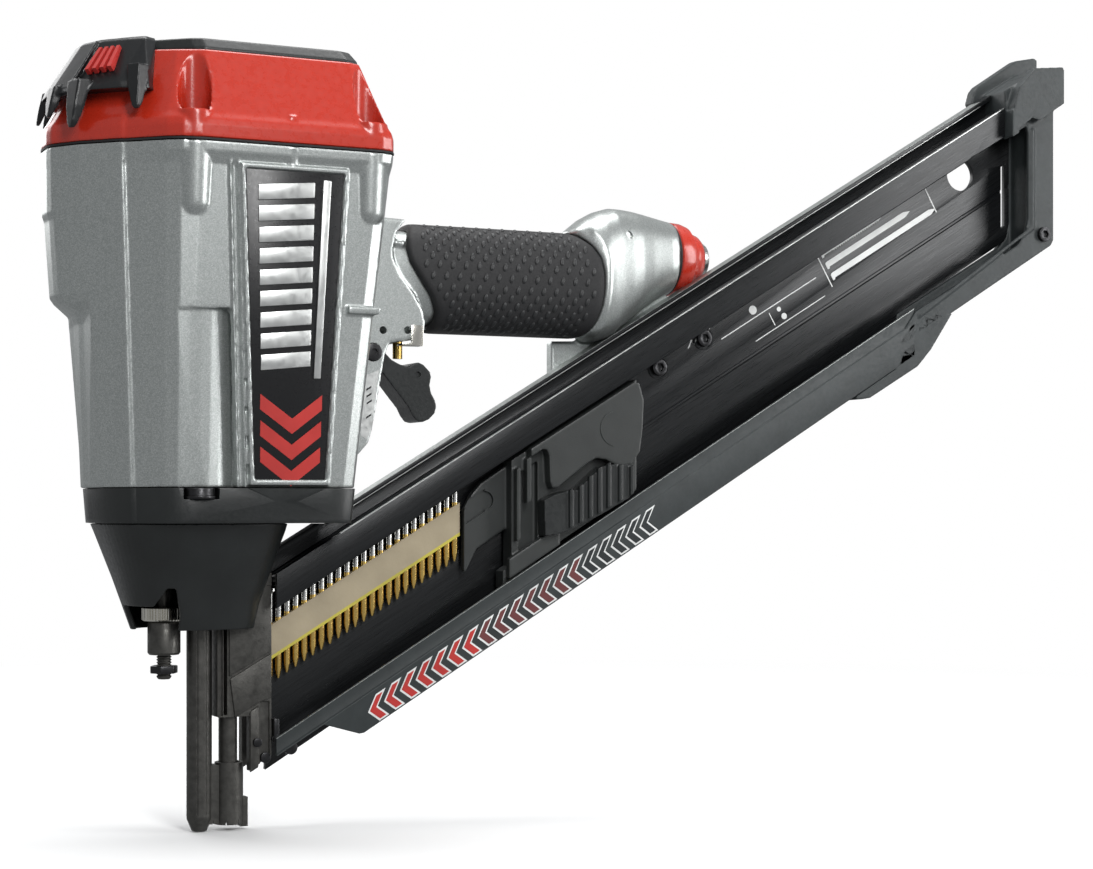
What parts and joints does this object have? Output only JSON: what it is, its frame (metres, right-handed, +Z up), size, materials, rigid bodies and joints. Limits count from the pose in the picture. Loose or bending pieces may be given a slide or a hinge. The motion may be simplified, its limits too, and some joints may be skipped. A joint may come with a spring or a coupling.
{
  "type": "pneumatic nail gun",
  "caption": "Air-driven framing nailer with a tall head, rubber-gripped handle, finger trigger, slanted open-sided nail magazine and a sprung nose contact.",
  "frame": {"origin": "middle of the hand grip, on the tool's centre plane", "axes": "+X back along the grip towards the air inlet and the magazine's end, +Y to the tool's right side, +Z up; the nose points down along -Z, the magazine rises towards +X at 31 degrees"},
  "size_m": [0.5752, 0.1208, 0.4117],
  "materials": {
    "black_anodised": "black anodised aluminium extrusion, satin with bright worn edges",
    "black_plastic": "black glass-filled nylon, satin",
    "bolt_black": "black oxide steel",
    "brass": "plain brass",
    "bright_steel": "bright machined steel",
    "grey_casting": "dark grey glass-filled nylon, fine texture",
    "label_black": "black name plate with silver relief and red chevrons, no lettering",
    "nickel": "nickel-plated knurled steel",
    "phosphated_steel": "grey phosphated steel, slightly grainy",
    "red_paint": "glossy red paint",
    "rubber": "black soft-touch rubber",
    "silver_casting": "silver-grey sprayed magnesium casting with a fine metallic sparkle"
  },
  "bodies": {
    "frame": {"housing": "silver_casting", "handle_frame": "silver_casting", "side_label_left": "label_black", "side_label_right": "label_black", "cap_gasket": "rubber", "end_cap": "red_paint", "cap_top_plate": "black_plastic", "exhaust_deflector": "black_plastic", "cap_screw_1": "bolt_black", "cap_screw_2": "bolt_black", "cap_screw_3": "bolt_black", "cap_screw_4": "bolt_black", "nose_flange": "black_plastic", "flange_bolt_1": "bolt_black", "flange_bolt_2": "bolt_black", "nose_cover": "black_plastic", "cylinder_sleeve": "bright_steel", "piston_bumper": "rubber", "head_valve_spring": "bright_steel", "nose_piece": "phosphated_steel", "contact_spring": "bright_steel", "depth_screw": "phosphated_steel", "depth_lock_nut": "phosphated_steel", "magazine_body": "black_anodised", "magazine_lower_rail": "grey_casting", "magazine_end": "grey_casting", "magazine_end_screw": "bolt_black", "magazine_bumper": "grey_casting", "magazine_bolt_1": "bolt_black", "magazine_bolt_2": "bolt_black", "nail_strip": "brass", "grip_sleeve": "rubber", "handle_cap_seal": "rubber", "handle_rear_cap": "red_paint", "air_inlet": "bright_steel", "trigger_pin": "bolt_black", "trigger_valve_body": "bright_steel", "trigger_valve_spring": "bright_steel"},
    "piston": {"piston": "bright_steel", "piston_ring": "rubber", "driver_blade": "bright_steel"},
    "head_valve": {"head_valve": "black_plastic"},
    "work_contact": {"work_contact": "phosphated_steel"},
    "depth_wheel": {"depth_wheel": "nickel"},
    "depth_sleeve": {"depth_sleeve": "phosphated_steel"},
    "trigger": {"trigger": "black_plastic"},
    "valve_stem": {"trigger_valve_stem": "brass"},
    "follower": {"follower": "grey_casting", "follower_spring_roll": "bright_steel"},
    "follower_latch": {"follower_latch": "black_plastic"}
  },
  "joints": [
    {"name": "piston_stroke", "type": "slide", "parent": "frame", "child": "piston", "axis": [0, 0, -1], "range_m": [0, 0.105]},
    {"name": "head_valve_lift", "type": "slide", "parent": "frame", "child": "head_valve", "axis": [0, 0, 1], "range_m": [0, 0.005], "stiffness_N_per_m": 2000, "springref_m": -0.004, "deforming": ["head_valve_spring"]},
    {"name": "contact_travel", "type": "slide", "parent": "frame", "child": "work_contact", "axis": [0, 0, 1], "range_m": [0, 0.011], "stiffness_N_per_m": 900, "springref_m": -0.012, "deforming": ["contact_spring"]},
    {"name": "depth_wheel_spin", "type": "hinge", "parent": "frame", "child": "depth_wheel", "pos_m": [-0.1695, 0, -0.1632], "axis": [0, 0, 1], "range_deg": [0, 1440]},
    {"name": "depth_sleeve_travel", "type": "slide", "parent": "frame", "child": "depth_sleeve", "axis": [0, 0, -1], "range_m": [0, 0.004]},
    {"name": "trigger_pull", "type": "hinge", "parent": "frame", "child": "trigger", "pos_m": [-0.0712, 0, -0.0382], "axis": [0, -1, 0], "range_deg": [0, 13], "stiffness_Nm_per_rad": 0.6, "springref_deg": -11.46},
    {"name": "valve_stem_press", "type": "slide", "parent": "frame", "child": "valve_stem", "axis": [0, 0, 1], "range_m": [0, 0.006], "stiffness_N_per_m": 1, "springref_m": -0.003, "deforming": ["trigger_valve_spring"]},
    {"name": "follower_slide", "type": "slide", "parent": "frame", "child": "follower", "axis": [0.8572, 0, 0.515], "range_m": [0, 0.24], "stiffness_N_per_m": 30, "springref_m": -0.35},
    {"name": "latch_slide", "type": "slide", "parent": "follower", "child": "follower_latch", "axis": [0.8572, 0, 0.515], "range_m": [0, 0.005], "stiffness_N_per_m": 800, "springref_m": -0.003}
  ],
  "couplings": [
    {"joint": "depth_wheel_spin", "follows": "depth_sleeve_travel", "rad_per_m": 6283.2},
    {"joint": "valve_stem_press", "follows": "trigger_pull", "m_per_rad": 0.0195}
  ]
}
